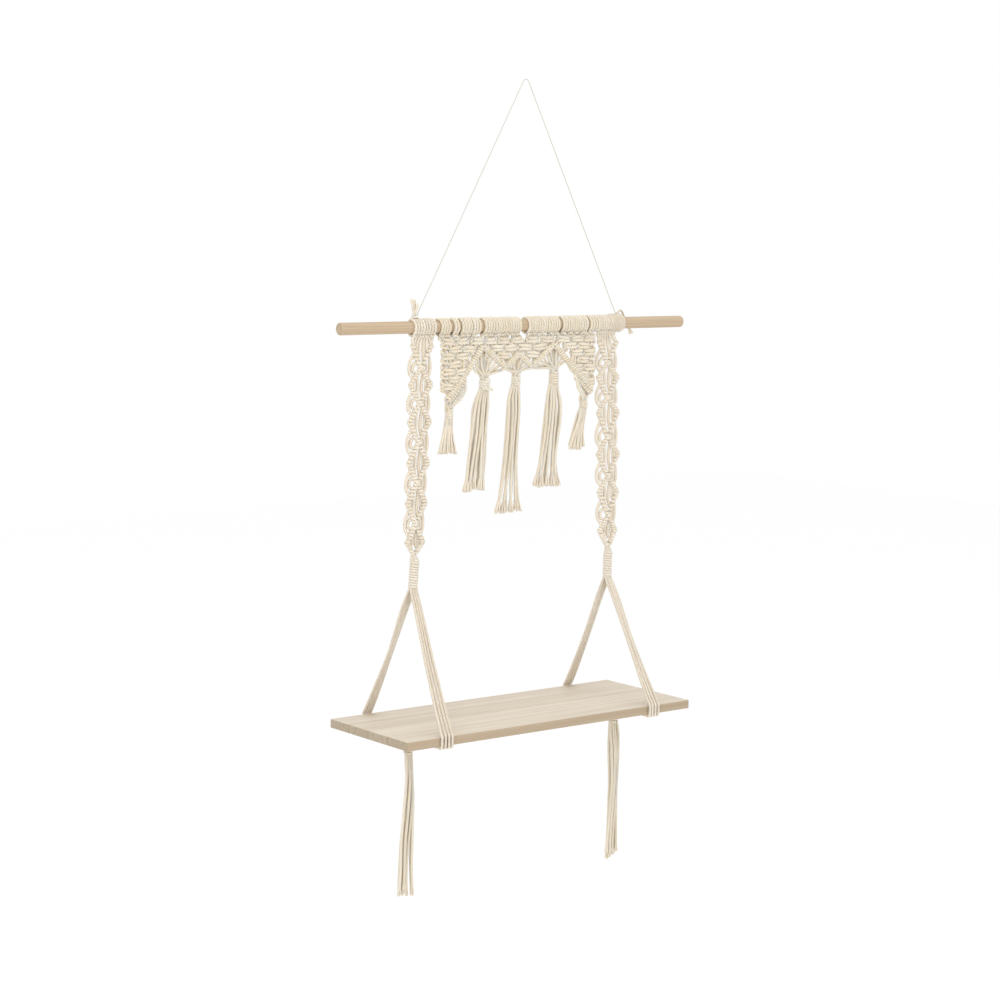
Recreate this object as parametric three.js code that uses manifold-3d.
// Macrame wall shelf: knotted cotton cord on a wooden rod, two straps that carry a wooden
// board in slings, a knotted band with five tassels, and a thin string that holds it all up.
import * as THREE from 'three';
import { mergeVertices } from 'three/addons/utils/BufferGeometryUtils.js';
import Module from 'manifold-3d';

const wasm = await Module();
wasm.setup();

// Driving dimensions in millimetres. x runs along the board, y away from the viewer, z up.
// Heights count from a level just under the board's top until the whole is lowered at the end,
// which puts the origin at the string's top.
const BOARD = { length: 600, depth: 220, thickness: 15, edge: 1.5, top: 2.5 };
const ROD = { radius: 10, length: 720, height: 652.6, edge: 2.5 };
const GAP = 0.3;
const STRING = { diameter: 1.5, apexX: 8, apexZ: 1057 };

// Sections of the faceted cords. A thin strand has three sides, the one in front flat, a sling
// cord has four, and a knotted bar has five, the one at the back flat where cords pass it.
const STRAND = { sides: 3, radius: 2.9 };
const STRAND_FRONT = STRAND.radius / 2;
const BAR_SIDES = 5;
const ROUND_SIDES = 8;
const COLLAR_RADIUS = 14.6;
const COLLAR_FLAT = Math.cos(Math.PI / ROUND_SIDES);
const COLLAR_BOTTOM = ROD.height - COLLAR_RADIUS;

// One row for each diamond of a strap, from the rod down: where the two leaders cross above
// it, and how wide it gets.
const STRAPS = {
  left: {
    collars: [{ from: -222, to: -178, turns: 8, radius: COLLAR_RADIUS }],
    top: { left: -220, right: -181 },
    diamonds: [
      { crossZ: 586, crossX: -203, wideZ: 560, left: -225, right: -181 },
      { crossZ: 530, crossX: -204, wideZ: 500, left: -226, right: -183 },
      { crossZ: 467, crossX: -206, wideZ: 433, left: -227, right: -186 },
      { crossZ: 401, crossX: -209, wideZ: 368, left: -229, right: -190 },
      { crossZ: 335, crossX: -211, wideZ: 303, left: -230, right: -194 },
    ],
    wrap: { x: -211.5, top: 277, bottom: 227, ridges: 6 },
    front: { left: -236, right: -212 },
    back: { left: -234, right: -214 },
    knotX: -219,
    tassel: { end: -289, left: -240, right: -209, sway: [0, 4, 5, 0, -2] },
  },
  right: {
    collars: [
      { from: 170.6, to: 195.4, turns: 5, radius: COLLAR_RADIUS },
      { from: 195, to: 222.5, turns: 5, radius: COLLAR_RADIUS + 0.5 },
    ],
    top: { left: 174, right: 213 },
    diamonds: [
      { crossZ: 584, crossX: 191.5, wideZ: 560, left: 170.5, right: 216 },
      { crossZ: 525, crossX: 193, wideZ: 499, left: 172, right: 218 },
      { crossZ: 457, crossX: 195, wideZ: 427, left: 173, right: 220 },
      { crossZ: 389, crossX: 197, wideZ: 362, left: 176, right: 219.5 },
      { crossZ: 321, crossX: 199.5, wideZ: 295, left: 179, right: 217 },
    ],
    wrap: { x: 202.5, top: 259, bottom: 213, ridges: 6 },
    front: { left: 205, right: 228 },
    back: { left: 199, right: 220 },
    knotX: 222,
    tassel: { end: -291, left: 211, right: 239, sway: [0, 3, 2, 2, 0] },
  },
};

// The hitches of the band over the rod, in groups that leave bare wood between them.
const BAND_COLLARS = [
  { from: -169, to: -149, turns: 3 },
  { from: -142.6, to: -131.5, turns: 2 },
  { from: -127, to: -87.5, turns: 6 },
  { from: -80, to: -3.3, turns: 12 },
  { from: 11.6, to: 79, turns: 12 },
  { from: 85, to: 141, turns: 10 },
  { from: 144.4, to: 161.8, turns: 3 },
];

// The knotted cloth of the band: its thickness, the pitch of its knots and its top.
const BAND = { top: 640.5, thickness: 7, left: -157, right: 163, lump: 2.2 };
const KNOT = { width: 30.7, height: 13 };

// The band's lower edge, from left to right, as the knotted bar along it runs.
const EDGE_BAR = [
  { x: -151, z: 535 },
  { x: -115, z: 574 },
  { x: -79, z: 620 },
  { x: -31, z: 584 },
  { x: -4, z: 606 },
  { x: 24, z: 584 },
  { x: 71, z: 620 },
  { x: 116, z: 578 },
  { x: 156, z: 542 },
];

// Gaps under the rod that are open between two knots, and the few lower down.
const TOP_GAPS = [
  { x: -133, width: 12, depth: 16 },
  { x: -100, width: 8, depth: 8 },
  { x: -73, width: 8, depth: 7 },
  { x: -45, width: 8, depth: 8 },
  { x: -18, width: 7, depth: 8 },
  { x: 12, width: 10, depth: 14 },
  { x: 46, width: 14, depth: 19 },
  { x: 78, width: 11, depth: 14 },
  { x: 112, width: 7, depth: 8 },
  { x: 143, width: 13, depth: 19 },
];
const INNER_GAPS = [
  { x: 28, z: 616, width: 8, height: 12 },
  { x: -127, z: 602, width: 7, height: 7 },
  { x: -143, z: 564, width: 6, height: 7 },
];

// The short knotted bar under each lower corner of the band, and the cords that loop round
// beneath it into the corner tassel.
const CORNER_BARS = [
  [{ x: -116, z: 562 }, { x: -148, z: 530.5 }],
  [{ x: 126, z: 561 }, { x: 158, z: 534.5 }],
];

// The five tassels: the bound head, the spread of the cut ends, and the stretch of the edge
// bar from which the cords above the head come.
const TASSELS = [
  { x: -143, top: 519, bottom: 501, radius: 7, end: 446, left: -161, right: -126, from: -118, to: -146 },
  { x: -71, top: 567, bottom: 546, radius: 9.4, end: 381, left: -109, right: -68, from: -107, to: -42 },
  { x: -6, top: 570, bottom: 552, radius: 8.2, end: 342, left: -45, right: 7, from: -24, to: 18 },
  { x: 76, top: 573, bottom: 552, radius: 9.2, end: 381, left: 38, right: 89, from: 32, to: 114 },
  { x: 142, top: 525, bottom: 507, radius: 7, end: 443, left: 112, right: 145, from: 124, to: 155 },
];
const STRANDS_PER_TASSEL = 8;

// Solids and meshes
function solidOf(geometry) {
  const bare = geometry.clone();
  bare.deleteAttribute('normal');
  bare.deleteAttribute('uv');
  const merged = mergeVertices(bare, 1e-3);
  const all = merged.index.array;
  const kept = [];
  for (let i = 0; i < all.length; i += 3) {
    const [a, b, c] = [all[i], all[i + 1], all[i + 2]];
    if (a !== b && b !== c && c !== a) kept.push(a, b, c);
  }
  return new wasm.Manifold(new wasm.Mesh({
    numProp: 3,
    vertProperties: new Float32Array(merged.attributes.position.array),
    triVerts: new Uint32Array(kept),
  }));
}

function joined(solids) {
  return solids.reduce((whole, next) => whole.add(next));
}

function geometryOf(solid) {
  const mesh = solid.getMesh();
  const geometry = new THREE.BufferGeometry();
  geometry.setAttribute('position', new THREE.BufferAttribute(mesh.vertProperties, 3));
  geometry.setIndex(new THREE.BufferAttribute(mesh.triVerts, 1));
  geometry.computeVertexNormals();
  return geometry;
}

const cotton = { color: 0xe6dcc4, roughness: 0.95, metalness: 0 };
const thinString = { color: 0xb9b09c, roughness: 0.9, metalness: 0 };
const rodWood = { color: 0xd3b88e, roughness: 0.6, metalness: 0 };
const boardWood = { color: 0xd5c0a1, roughness: 0.65, metalness: 0 };

const shelf = new THREE.Group();
function add(name, solid, look) {
  const mesh = new THREE.Mesh(geometryOf(solid), new THREE.MeshStandardMaterial(look));
  mesh.name = name;
  shelf.add(mesh);
}

// Sections swept along a path. The rings are drawn thin and then pushed out to the radius
// wanted at each, which raises the ridges.
const vector = (x, y, z) => new THREE.Vector3(x, y, z);
const smooth = (points) => new THREE.CatmullRomCurve3(points, false, 'centripetal');
const mix = (a, b, t) => a + (b - a) * t;

function sweep(path, sides, steps, radiusAt) {
  const core = 0.5;
  const corners = Array.from({ length: sides }, (_, i) => {
    const turn = ((i + (sides === BAR_SIDES ? 0 : 0.5)) * 2 * Math.PI) / sides;
    return new THREE.Vector2(core * Math.cos(turn), core * Math.sin(turn));
  });
  path.arcLengthDivisions = steps * 12;
  const section = new THREE.Shape(corners);
  const geometry = new THREE.ExtrudeGeometry(section, { steps, extrudePath: path });
  const rings = path.getSpacedPoints(steps);
  const position = geometry.attributes.position;
  const point = new THREE.Vector3();
  for (let i = 0; i < position.count; i += 1) {
    point.fromBufferAttribute(position, i);
    const away = rings.map((ring) => ring.distanceToSquared(point));
    const nearest = away.indexOf(Math.min(...away));
    const radius = radiusAt(nearest, steps, (point.y - rings[nearest].y) / core);
    point.sub(rings[nearest]).multiplyScalar(radius / core).add(rings[nearest]);
    position.setXYZ(i, point.x, point.y, point.z);
  }
  return solidOf(geometry);
}

// A path whose rings stand at its own points, however far apart those are.
class SteppedPath extends THREE.Curve {
  constructor(points) {
    super();
    this.course = smooth(points);
  }
  getPoint(t, target) {
    return this.course.getPoint(t, target);
  }
  getPointAt(t, target) {
    return this.getPoint(t, target);
  }
  getTangentAt(t, target) {
    return this.getTangent(t, target);
  }
}

function strand(points, { sides, radius } = STRAND, flare = 1) {
  return sweep(new SteppedPath(points), sides, points.length - 1, (ring, last) => {
    return ring === last ? radius * flare : radius;
  });
}

// A knotted bar: a leader cord with a ridge for each cord that is hitched round it. Its back
// stays flat.
const RIDGE = { length: 20, low: 0.7 };
function bar(points, radius) {
  const path = smooth(points);
  const ridges = Math.max(1, Math.round(path.getLength() / RIDGE.length));
  return sweep(path, BAR_SIDES, ridges * 2, (ring, last, backward) => {
    return ring % 2 || backward > 0.5 ? radius : radius * RIDGE.low;
  });
}

// A wound binding: turns of cord as rounded ridges about an upright axis.
function winding(x, top, bottom, radius, turns) {
  const pitch = (top - bottom) / turns;
  const profile = [new THREE.Vector2(0, bottom)];
  for (let i = 0; i < turns; i += 1) {
    profile.push(new THREE.Vector2(radius - 1.1, bottom + i * pitch));
    profile.push(new THREE.Vector2(radius, bottom + (i + 0.5) * pitch));
  }
  profile.push(new THREE.Vector2(radius - 1.1, top));
  profile.push(new THREE.Vector2(0, top));
  const geometry = new THREE.LatheGeometry(profile, ROUND_SIDES);
  geometry.rotateX(Math.PI / 2);
  geometry.translate(x, 0, 0);
  return solidOf(geometry);
}

// Hitches over the rod: a ring that stays clear of the wood all round, with a ridge for each
// hitch of two turns.
function collar({ from, to, turns, radius = COLLAR_RADIUS }) {
  const inner = (ROD.radius + GAP) / Math.cos(Math.PI / ROUND_SIDES);
  const hitches = Math.ceil(turns / 2);
  const pitch = (to - from) / hitches;
  const profile = [new THREE.Vector2(inner, from)];
  for (let i = 0; i < hitches; i += 1) {
    profile.push(new THREE.Vector2(radius - 1.3, from + i * pitch));
    profile.push(new THREE.Vector2(radius, from + (i + 0.5) * pitch));
  }
  profile.push(new THREE.Vector2(radius - 1.3, to));
  profile.push(new THREE.Vector2(inner, to));
  profile.push(profile[0].clone());
  const geometry = new THREE.LatheGeometry(profile, ROUND_SIDES, Math.PI / ROUND_SIDES);
  geometry.rotateZ(-Math.PI / 2);
  geometry.translate(0, 0, ROD.height);
  return solidOf(geometry);
}

function rod() {
  const half = ROD.length / 2;
  const profile = [
    new THREE.Vector2(0, -half),
    new THREE.Vector2(ROD.radius - ROD.edge, -half),
    new THREE.Vector2(ROD.radius - ROD.edge * 0.3, -half + ROD.edge * 0.35),
    new THREE.Vector2(ROD.radius, -half + ROD.edge),
    new THREE.Vector2(ROD.radius, half - ROD.edge),
    new THREE.Vector2(ROD.radius - ROD.edge * 0.3, half - ROD.edge * 0.35),
    new THREE.Vector2(ROD.radius - ROD.edge, half),
    new THREE.Vector2(0, half),
  ];
  const geometry = new THREE.LatheGeometry(profile, 20);
  geometry.rotateZ(-Math.PI / 2);
  geometry.translate(0, 0, ROD.height);
  return solidOf(geometry);
}

function board() {
  const { length, depth, thickness, edge, top } = BOARD;
  const outline = new THREE.Shape();
  outline.moveTo(-length / 2 + edge, -depth / 2 + edge);
  outline.lineTo(length / 2 - edge, -depth / 2 + edge);
  outline.lineTo(length / 2 - edge, depth / 2 - edge);
  outline.lineTo(-length / 2 + edge, depth / 2 - edge);
  outline.closePath();
  const geometry = new THREE.ExtrudeGeometry(outline, {
    depth: thickness - 2 * edge,
    bevelSize: edge,
    bevelThickness: edge,
    bevelSegments: 2,
  });
  geometry.translate(0, 0, top + edge - thickness);
  return solidOf(geometry);
}

// A strap: two knotted leaders that meet between the diamonds, and three cords at each side
// that run down behind them, in and out of the diamonds.
function strap({ collars, top, diamonds, wrap }) {
  const barRadius = 5;
  const barY = -1;
  const cordY = barY + barRadius * Math.cos(Math.PI / BAR_SIDES) + STRAND_FRONT - 0.6;
  const leaders = [-1, 1].map((side) => {
    const points = [vector(side < 0 ? top.left : top.right, barY, COLLAR_BOTTOM + 1)];
    diamonds.forEach((row) => {
      const edge = side < 0 ? row.left : row.right;
      points.push(vector(row.crossX + side * barRadius * 0.6, barY, row.crossZ));
      points.push(vector(edge - side * barRadius, barY, row.wideZ));
    });
    points.push(vector(wrap.x + side * barRadius * 0.6, barY, wrap.top + 3));
    return bar(points, barRadius);
  });
  const cords = [-1, 1].flatMap((side) => [0, 1, 2].map((rank) => {
    const topX = (side < 0 ? top.left : top.right) - side * rank * 6.5;
    const points = [vector(topX, cordY, COLLAR_BOTTOM + 2)];
    diamonds.forEach((row) => {
      const edge = side < 0 ? row.left : row.right;
      points.push(vector(edge - side * (2.5 + rank * 6.4), cordY, row.crossZ));
      points.push(vector(row.crossX + side * (16.2 - rank * 5.8), cordY, row.wideZ));
    });
    points.push(vector(wrap.x + side * (7 - rank * 2.4), cordY, wrap.top + 3));
    return strand(points);
  }));
  const root = winding(wrap.x, wrap.top + 6, wrap.top + GAP, 7.2, 1);
  return joined([...collars.map(collar), ...leaders, ...cords, root]);
}

// Four cords side by side between two stations of the sling.
const SLING = { clear: 0.6, strands: 4, sides: 4, radius: 2.7 };
const STRAND_HALF = SLING.radius * Math.cos(Math.PI / 4);
const EDGE_Y = BOARD.depth / 2 + SLING.clear + STRAND_HALF;
const UNDER_Z = BOARD.top - BOARD.thickness - SLING.clear - STRAND_HALF;

function sling(station, wrap, side) {
  const cords = Array.from({ length: SLING.strands }, (_, i) => {
    const share = i / (SLING.strands - 1);
    const x = mix(station.left + 2, station.right - 2, share);
    const rootX = mix(wrap.x - 5.4, wrap.x + 5.4, share);
    return strand([
      vector(rootX, side * 2.6, wrap.bottom - GAP - 2),
      vector(mix(rootX, x, 0.12), side * mix(2.6, EDGE_Y, 0.1), mix(wrap.bottom, BOARD.top, 0.11)),
      vector(mix(rootX, x, 0.97), side * mix(2.6, EDGE_Y, 0.955), mix(wrap.bottom, BOARD.top, 0.95)),
      vector(x, side * (EDGE_Y + 0.4), BOARD.top + 1),
      vector(x, side * EDGE_Y, BOARD.top - 4),
      vector(x, side * EDGE_Y, UNDER_Z - STRAND_HALF),
    ], SLING);
  });
  const root = new THREE.BoxGeometry(14, 5.4, 5);
  root.translate(wrap.x, side * 3.1, wrap.bottom - GAP - 2.5);
  return joined([solidOf(root), ...cords]);
}

// The cords run on under the board, and a wound knot holds them together in its middle.
const UNDER_KNOT = { top: -17, bottom: -48, radius: 8.4, turns: 3 };
function under({ front, back, knotX }) {
  const cords = [[front, -1], [back, 1]].flatMap(([station, side]) => {
    return Array.from({ length: SLING.strands }, (_, i) => {
      const share = i / (SLING.strands - 1);
      const x = mix(station.left + 2, station.right - 2, share);
      const end = knotX + mix(-4.5, 4.5, share);
      const outer = EDGE_Y - STRAND_HALF - GAP;
      return strand([
        vector(x, side * outer, UNDER_Z),
        vector(mix(x, end, 0.45), side * outer * 0.5, UNDER_Z),
        vector(end, side * 9, UNDER_Z - 1.5),
        vector(end, side * 3, UNDER_KNOT.top - 7),
      ], SLING);
    });
  });
  const { top, bottom, radius, turns } = UNDER_KNOT;
  return joined([winding(knotX, top, bottom, radius, turns), ...cords]);
}

// Cord ends that hang from a head and stand apart below it, in a front and a back row.
function hanging({ x, top, end, left, right, radius, sway = [0, 0, 0, 0], shares = [0, 0.3, 0.65, 1] }) {
  return Array.from({ length: STRANDS_PER_TASSEL }, (_, i) => {
    const half = STRANDS_PER_TASSEL / 2;
    const row = i < half ? -1 : 1;
    const share = ((i % half) + (row < 0 ? 0.25 : 0.75) - 0.5) / (half - 0.5);
    const rootX = x + mix(-0.62, 0.62, share) * radius;
    const endX = mix(left + 2.5, right - 2.5, share);
    const points = shares.map((t, k) => {
      const spread = t * t * 0.55 + t * 0.45;
      const bulge = 1 + 0.9 * Math.sin(Math.PI * Math.min(1, t * 1.6));
      return vector(
        mix(rootX, endX, spread) + sway[k] + (rootX - x) * (bulge - 1) * (1 - t),
        row * (2.9 + 0.9 * bulge + 1.5 * t),
        mix(top, end + ((i * 5) % 7) - 3, t),
      );
    });
    return strand(points, STRAND, 1.12);
  });
}

function tassel(row) {
  const head = winding(row.x, row.top, row.bottom, row.radius, 3);
  return joined([head, ...hanging({ ...row, top: row.bottom + 2 })]);
}

function tasselUnder({ knotX, tassel: ends }) {
  const top = UNDER_KNOT.bottom - GAP;
  const head = winding(knotX, top, top - 5, 8, 1);
  const cords = hanging({ x: knotX, top: top - 3, radius: 8, shares: [0, 0.2, 0.45, 0.7, 1], ...ends });
  return joined([head, ...cords]);
}

// The band's cloth: a slab in columns and rows, cut off at the edge bar, whose faces rise in
// a lump for each knot.
function columnsOfCloth() {
  const ends = [
    { x: BAND.left, z: EDGE_BAR[0].z + 2 },
    ...EDGE_BAR.slice(1, -1),
    { x: BAND.right, z: EDGE_BAR[EDGE_BAR.length - 1].z + 2 },
  ];
  const columns = [ends[0]];
  for (let i = 1; i < ends.length; i += 1) {
    const [a, b] = [ends[i - 1], ends[i]];
    const parts = Math.round((b.x - a.x) / (KNOT.width / 2));
    for (let k = 1; k <= parts; k += 1) {
      columns.push({ x: mix(a.x, b.x, k / parts), z: mix(a.z, b.z, k / parts) });
    }
  }
  return columns;
}

function prism(points) {
  const shape = new THREE.Shape(points.map(([x, z]) => new THREE.Vector2(x, z)));
  const geometry = new THREE.ExtrudeGeometry(shape, { depth: 30, bevelEnabled: false });
  geometry.rotateX(Math.PI / 2);
  geometry.translate(0, 15, 0);
  return solidOf(geometry);
}

function knottedCloth() {
  const columns = columnsOfCloth();
  const lowest = Math.min(...columns.map((column) => column.z));
  const rows = Math.ceil((BAND.top - lowest) / (KNOT.height / 2));
  const slab = new THREE.BoxGeometry(1, 1, 1, columns.length - 1, 1, rows);
  const position = slab.attributes.position;
  for (let i = 0; i < position.count; i += 1) {
    const column = Math.round((position.getX(i) + 0.5) * (columns.length - 1));
    const row = Math.round((0.5 - position.getZ(i)) * rows);
    const level = BAND.top - (row * KNOT.height) / 2;
    const bottom = columns[column].z;
    const knot = row % 2 === 1 && (column + (row - 1) / 2) % 2 === 0;
    const inside = level > bottom + 2 && row > 0;
    const raise = !inside || row % 2 === 0 ? 0 : knot ? BAND.lump : 0.6;
    const y = Math.sign(position.getY(i)) * (BAND.thickness / 2 + raise);
    position.setXYZ(i, columns[column].x, y, inside || row === 0 ? level : bottom);
  }
  const gaps = [
    ...TOP_GAPS.map(({ x, width, depth }) => prism([
      [x - width / 2, COLLAR_BOTTOM + 4],
      [x, COLLAR_BOTTOM - depth],
      [x + width / 2, COLLAR_BOTTOM + 4],
    ])),
    ...INNER_GAPS.map(({ x, z, width, height }) => prism([
      [x - width / 2, z],
      [x, z - height / 2],
      [x + width / 2, z],
      [x, z + height / 2],
    ])),
  ];
  return gaps.reduce((cloth, gap) => cloth.subtract(gap), solidOf(slab));
}

function onEdgeBar(x) {
  const next = EDGE_BAR.findIndex((point) => point.x > x);
  const [a, b] = [EDGE_BAR[next - 1], EDGE_BAR[next]];
  return mix(a.z, b.z, (x - a.x) / (b.x - a.x));
}

// The cords that come out of the edge bar and close in on a tassel's head.
// They lie at slightly different depths and heights, so that no two faces fall together.
const FAN = { cords: 4, cornerCords: 2, depthStep: 0.45, footStep: 0.11 };
function fan({ x, top, radius, from, to }, index) {
  const corner = index === 0 || index === TASSELS.length - 1;
  const count = corner ? FAN.cornerCords : FAN.cords;
  return Array.from({ length: count }, (_, i) => {
    const share = i / (count - 1);
    const y = (((i * 3) % count) - 1) * FAN.depthStep;
    const foot = top + GAP + i * FAN.footStep;
    const rootX = x + mix(-0.5, 0.5, share) * radius;
    const startX = mix(from, to, share);
    const level = corner ? (share < 0.5 ? 556 : 535) : onEdgeBar(startX) - 1;
    const bow = corner ? (startX - x) * 0.12 : (startX - x) * 0.05;
    return strand([
      vector(startX, y, level),
      vector(mix(startX, rootX, 0.5) + bow, y, mix(level, foot + 8, 0.62)),
      vector(rootX, y, foot + 4),
      vector(rootX, y, foot),
    ]);
  });
}

function band() {
  const points = EDGE_BAR.map(({ x, z }) => vector(x, -1, z));
  const edge = bar(points, 5);
  const corners = CORNER_BARS.map((ends) => {
    return bar(ends.map(({ x, z }) => vector(x, -0.5, z)), 5.4);
  });
  return joined([
    knottedCloth(),
    edge,
    ...corners,
    ...BAND_COLLARS.map(collar),
    ...TASSELS.flatMap(fan),
  ]);
}

// The string, from its left foot over the rounded top to its right foot: points chosen by
// hand along the route, in x and z, each a step of the tube.
const STRING_ROUTE = [
  [-208.7, 672],
  [-207, 676.3],
  [-173.9, 735.8],
  [-141, 795],
  [-108.1, 854.1],
  [-75.2, 913.3],
  [-42.3, 972.5],
  [-12.1, 1026.7],
  [1.2, 1050.4],
  [2.7, 1053.2],
  [5, 1055.4],
  [8, 1056.2],
  [11, 1055.4],
  [13.3, 1053.1],
  [14.8, 1050.2],
  [28.8, 1022.6],
  [53.9, 973.7],
  [84.7, 913.5],
  [115.6, 853.4],
  [146.4, 793.2],
  [177.3, 733],
  [206.2, 676.6],
  [211.1, 667.6],
];

function hangString() {
  const points = STRING_ROUTE.map(([x, z]) => vector(x, 0, z));
  return strand(points, { sides: ROUND_SIDES, radius: STRING.diameter / 2 });
}

// The knot at the string's left foot, with the frayed ends that stand up from it.
const TUFT = {
  x: -215.5,
  base: ROD.height + COLLAR_RADIUS * COLLAR_FLAT + GAP,
  top: 697.5,
  ends: 6,
};
function tieKnotLeft() {
  const knot = new THREE.SphereGeometry(5, 8, 6);
  knot.scale(1.15, 1.1, 0.75);
  knot.translate(TUFT.x + 1.5, 0, TUFT.base + 3);
  const flat = new THREE.BoxGeometry(40, 40, 20);
  flat.translate(TUFT.x, 0, TUFT.base - 10);
  const ends = Array.from({ length: TUFT.ends }, (_, i) => {
    const share = i / (TUFT.ends - 1) - 0.5;
    const y = i % 2 ? 2.6 : -2.6;
    return strand([
      vector(TUFT.x + share * 3, y * 0.4, TUFT.base + 4),
      vector(TUFT.x - 0.6 + share * 9, y * 0.8, TUFT.base + 15),
      vector(TUFT.x - 1 + share * 15, y * 1.3, TUFT.top - ((i * 3) % 5)),
    ], { sides: 3, radius: 1.5 });
  });
  return joined([solidOf(knot), ...ends]).subtract(solidOf(flat));
}

// The loose end at the right: it leaves the wound block, arches over and runs down behind
// the rod to its frayed tip.
const LOOSE_END = [
  [214.4, 2, 668.2],
  [221.5, 4.5, 672.4],
  [229, 8, 673.4],
  [238, 13, 667.5],
  [245, 15.6, 657],
  [251, 15.2, 646],
  [256.5, 13, 635],
];
function tieEndRight() {
  const points = LOOSE_END.map(([x, y, z]) => vector(x, y, z));
  return strand(points, { sides: 4, radius: 2.4 }, 1.5);
}

add('rod', rod(), rodWood);
add('shelf_board', board(), boardWood);
for (const [side, parts] of Object.entries(STRAPS)) {
  const { wrap } = parts;
  add(`strap_${side}`, strap(parts), cotton);
  add(`wrap_${side}`, winding(wrap.x, wrap.top, wrap.bottom, 8.2, wrap.ridges), cotton);
  add(`sling_${side}_front`, sling(parts.front, wrap, -1), cotton);
  add(`sling_${side}_back`, sling(parts.back, wrap, 1), cotton);
  add(`under_${side}`, under(parts), cotton);
  add(`tassel_under_${side}`, tasselUnder(parts), cotton);
}
add('valance', band(), cotton);
TASSELS.forEach((row, i) => add(`tassel_${i + 1}`, tassel(row), cotton));
add('hang_string', hangString(), thinString);
add('tie_knot_left', tieKnotLeft(), cotton);
add('tie_end_right', tieEndRight(), cotton);

shelf.position.set(-STRING.apexX, 0, -STRING.apexZ);
export default shelf;
